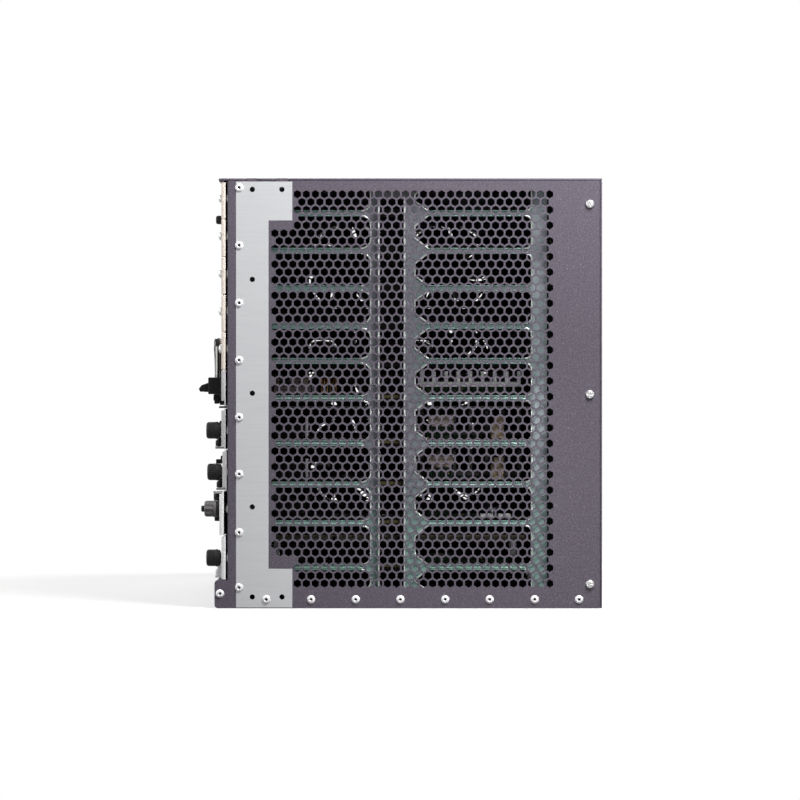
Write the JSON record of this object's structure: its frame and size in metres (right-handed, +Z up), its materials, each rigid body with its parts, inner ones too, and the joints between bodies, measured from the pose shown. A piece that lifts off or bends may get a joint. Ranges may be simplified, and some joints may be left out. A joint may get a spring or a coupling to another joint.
{
  "type": "optical line terminal",
  "caption": "Rack chassis with honeycomb side vents, plug-in cards with hand knobs and ejector levers, blank slot covers and a slide-out side fan tray",
  "frame": {"origin": "on the floor under the middle of the part's bounding box", "axes": "+X to the right side that the picture shows, +Y to the rear, +Z up"},
  "size_m": [0.442, 0.249, 0.2645],
  "materials": {
    "body_paint": "fine speckled powder coat",
    "plated_steel": "zinc plated sheet",
    "guide_plastic": "moulded",
    "circuit_board": "solder mask",
    "cream_paint": "satin paint",
    "grey_paint": "satin paint",
    "white_paint": "satin paint",
    "sink_aluminium": "extruded",
    "black_plastic": "moulded",
    "port_metal": "nickel plated",
    "lever_plastic": "moulded",
    "black_paint": "satin paint",
    "grey_knob": "knurled",
    "black_knob": "knurled"
  },
  "bodies": {
    "chassis": {"right_side_panel": "body_paint", "left_side_panel": "body_paint", "top_cover": "body_paint", "base_tray": "body_paint", "rear_panel": "body_paint", "right_cage_wall": "plated_steel", "left_cage_wall": "plated_steel", "card_guides": "guide_plastic", "card_shelf": "black_paint", "backplane": "circuit_board", "blank_panel_1": "cream_paint", "blank_panel_2": "cream_paint", "blank_panel_3": "cream_paint", "blank_panel_4": "cream_paint", "blank_panel_5": "cream_paint"},
    "fan_tray": {"fan_tray_panel": "body_paint", "fan_tray_frame": "plated_steel", "fan_housings": "black_plastic"},
    "power_card": {"power_card_faceplate": "grey_paint", "power_card_board": "circuit_board", "power_card_heat_sink": "sink_aluminium", "power_card_inlet": "black_plastic"},
    "power_switch": {"power_switch_lever": "black_plastic"},
    "power_handle": {"power_handle": "black_plastic"},
    "control_card_1": {"control_card_1_faceplate": "grey_paint", "control_card_1_board": "circuit_board", "control_card_1_cages": "port_metal", "control_card_1_heat_sink": "sink_aluminium"},
    "control_card_1_lever_right": {"control_card_1_lever_right": "black_plastic"},
    "control_card_1_knob_right": {"control_card_1_knob_right": "black_knob"},
    "control_card_1_lever_left": {"control_card_1_lever_left": "black_plastic"},
    "control_card_1_knob_left": {"control_card_1_knob_left": "black_knob"},
    "control_card_2": {"control_card_2_faceplate": "grey_paint", "control_card_2_board": "circuit_board", "control_card_2_cages": "port_metal", "control_card_2_heat_sink": "sink_aluminium"},
    "control_card_2_lever_right": {"control_card_2_lever_right": "black_plastic"},
    "control_card_2_knob_right": {"control_card_2_knob_right": "black_knob"},
    "control_card_2_lever_left": {"control_card_2_lever_left": "black_plastic"},
    "control_card_2_knob_left": {"control_card_2_knob_left": "black_knob"},
    "line_card_1": {"line_card_1_faceplate": "white_paint", "line_card_1_board": "circuit_board", "line_card_1_cages": "port_metal"},
    "line_card_1_lever_right": {"line_card_1_lever_right": "black_plastic"},
    "line_card_1_knob_right": {"line_card_1_knob_right": "grey_knob"},
    "line_card_1_lever_left": {"line_card_1_lever_left": "black_plastic"},
    "line_card_1_knob_left": {"line_card_1_knob_left": "grey_knob"},
    "line_card_2": {"line_card_2_faceplate": "white_paint", "line_card_2_board": "circuit_board", "line_card_2_cages": "port_metal"},
    "line_card_2_lever_right": {"line_card_2_lever_right": "lever_plastic"},
    "line_card_2_knob_right": {"line_card_2_knob_right": "black_knob"},
    "line_card_2_lever_left": {"line_card_2_lever_left": "lever_plastic"},
    "line_card_2_knob_left": {"line_card_2_knob_left": "black_knob"},
    "fan_1": {"fan_rotor_1": "black_plastic"},
    "fan_2": {"fan_rotor_2": "black_plastic"},
    "fan_3": {"fan_rotor_3": "black_plastic"},
    "fan_4": {"fan_rotor_4": "black_plastic"},
    "fan_5": {"fan_rotor_5": "black_plastic"},
    "fan_6": {"fan_rotor_6": "black_plastic"}
  },
  "joints": [
    {"name": "power_card_slide", "type": "slide", "parent": "chassis", "child": "power_card", "axis": [0, -1, 0], "range_m": [0, 0.16]},
    {"name": "power_switch_throw", "type": "hinge", "parent": "power_card", "child": "power_switch", "pos_m": [0.205, -0.1135, 0.1369], "axis": [-1, 0, 0], "range_deg": [0, 24]},
    {"name": "power_handle_fold", "type": "hinge", "parent": "power_card", "child": "power_handle", "pos_m": [0.173, -0.11395, 0.1296], "axis": [1, 0, 0], "range_deg": [0, 90]},
    {"name": "fan_tray_slide", "type": "slide", "parent": "chassis", "child": "fan_tray", "axis": [0, -1, 0], "range_m": [0, 0.16]},
    {"name": "control_card_1_slide", "type": "slide", "parent": "chassis", "child": "control_card_1", "axis": [0, -1, 0], "range_m": [0, 0.16]},
    {"name": "control_card_1_lever_right_swing", "type": "hinge", "parent": "control_card_1", "child": "control_card_1_lever_right", "pos_m": [0.1984, -0.1124, 0.10225], "axis": [0, 0, 1], "range_deg": [0, 70]},
    {"name": "control_card_1_knob_right_turn", "type": "hinge", "parent": "control_card_1", "child": "control_card_1_knob_right", "pos_m": [0.2154, -0.1098, 0.1094], "axis": [0, 1, 0], "continuous": true},
    {"name": "control_card_1_lever_left_swing", "type": "hinge", "parent": "control_card_1", "child": "control_card_1_lever_left", "pos_m": [-0.1488, -0.1124, 0.10225], "axis": [0, 0, -1], "range_deg": [0, 70]},
    {"name": "control_card_2_slide", "type": "slide", "parent": "chassis", "child": "control_card_2", "axis": [0, -1, 0], "range_m": [0, 0.16]},
    {"name": "control_card_2_lever_right_swing", "type": "hinge", "parent": "control_card_2", "child": "control_card_2_lever_right", "pos_m": [0.1984, -0.1118, 0.07665], "axis": [0, 0, 1], "range_deg": [0, 70]},
    {"name": "control_card_2_knob_right_turn", "type": "hinge", "parent": "control_card_2", "child": "control_card_2_knob_right", "pos_m": [0.2154, -0.1092, 0.0838], "axis": [0, 1, 0], "continuous": true},
    {"name": "control_card_2_lever_left_swing", "type": "hinge", "parent": "control_card_2", "child": "control_card_2_lever_left", "pos_m": [-0.1488, -0.1118, 0.07665], "axis": [0, 0, -1], "range_deg": [0, 70]},
    {"name": "line_card_1_slide", "type": "slide", "parent": "chassis", "child": "line_card_1", "axis": [0, -1, 0], "range_m": [0, 0.16]},
    {"name": "line_card_1_lever_right_swing", "type": "hinge", "parent": "line_card_1", "child": "line_card_1_lever_right", "pos_m": [0.1984, -0.1136, 0.06715], "axis": [0, 0, 1], "range_deg": [0, 70]},
    {"name": "line_card_1_knob_right_turn", "type": "hinge", "parent": "line_card_1", "child": "line_card_1_knob_right", "pos_m": [0.2154, -0.111, 0.0611], "axis": [0, 1, 0], "continuous": true},
    {"name": "line_card_1_lever_left_swing", "type": "hinge", "parent": "line_card_1", "child": "line_card_1_lever_left", "pos_m": [-0.1488, -0.1136, 0.06715], "axis": [0, 0, -1], "range_deg": [0, 70]},
    {"name": "line_card_2_slide", "type": "slide", "parent": "chassis", "child": "line_card_2", "axis": [0, -1, 0], "range_m": [0, 0.16]},
    {"name": "line_card_2_lever_right_swing", "type": "hinge", "parent": "line_card_2", "child": "line_card_2_lever_right", "pos_m": [0.1984, -0.1124, 0.02225], "axis": [0, 0, 1], "range_deg": [0, 70]},
    {"name": "line_card_2_knob_right_turn", "type": "hinge", "parent": "line_card_2", "child": "line_card_2_knob_right", "pos_m": [0.2154, -0.1098, 0.0308], "axis": [0, 1, 0], "continuous": true},
    {"name": "line_card_2_lever_left_swing", "type": "hinge", "parent": "line_card_2", "child": "line_card_2_lever_left", "pos_m": [-0.1488, -0.1124, 0.02225], "axis": [0, 0, -1], "range_deg": [0, 70]},
    {"name": "fan_1_spin", "type": "hinge", "parent": "fan_tray", "child": "fan_1", "pos_m": [-0.187, -0.03615, 0.2248], "axis": [1, 0, 0], "continuous": true},
    {"name": "fan_2_spin", "type": "hinge", "parent": "fan_tray", "child": "fan_2", "pos_m": [-0.187, 0.03415, 0.2248], "axis": [1, 0, 0], "continuous": true},
    {"name": "fan_3_spin", "type": "hinge", "parent": "fan_tray", "child": "fan_3", "pos_m": [-0.187, -0.03615, 0.1545], "axis": [1, 0, 0], "continuous": true},
    {"name": "fan_4_spin", "type": "hinge", "parent": "fan_tray", "child": "fan_4", "pos_m": [-0.187, 0.03415, 0.1545], "axis": [1, 0, 0], "continuous": true},
    {"name": "fan_5_spin", "type": "hinge", "parent": "fan_tray", "child": "fan_5", "pos_m": [-0.187, -0.03615, 0.0842], "axis": [1, 0, 0], "continuous": true},
    {"name": "fan_6_spin", "type": "hinge", "parent": "fan_tray", "child": "fan_6", "pos_m": [-0.187, 0.03415, 0.0842], "axis": [1, 0, 0], "continuous": true},
    {"name": "control_card_1_knob_left_turn", "type": "hinge", "parent": "control_card_1", "child": "control_card_1_knob_left", "pos_m": [-0.16415, -0.1098, 0.1094], "axis": [0, 1, 0], "continuous": true},
    {"name": "control_card_2_knob_left_turn", "type": "hinge", "parent": "control_card_2", "child": "control_card_2_knob_left", "pos_m": [-0.16415, -0.1092, 0.0838], "axis": [0, 1, 0], "continuous": true},
    {"name": "line_card_1_knob_left_turn", "type": "hinge", "parent": "line_card_1", "child": "line_card_1_knob_left", "pos_m": [-0.16415, -0.111, 0.0611], "axis": [0, 1, 0], "continuous": true},
    {"name": "line_card_2_knob_left_turn", "type": "hinge", "parent": "line_card_2", "child": "line_card_2_knob_left", "pos_m": [-0.16415, -0.1098, 0.0308], "axis": [0, 1, 0], "continuous": true}
  ]
}
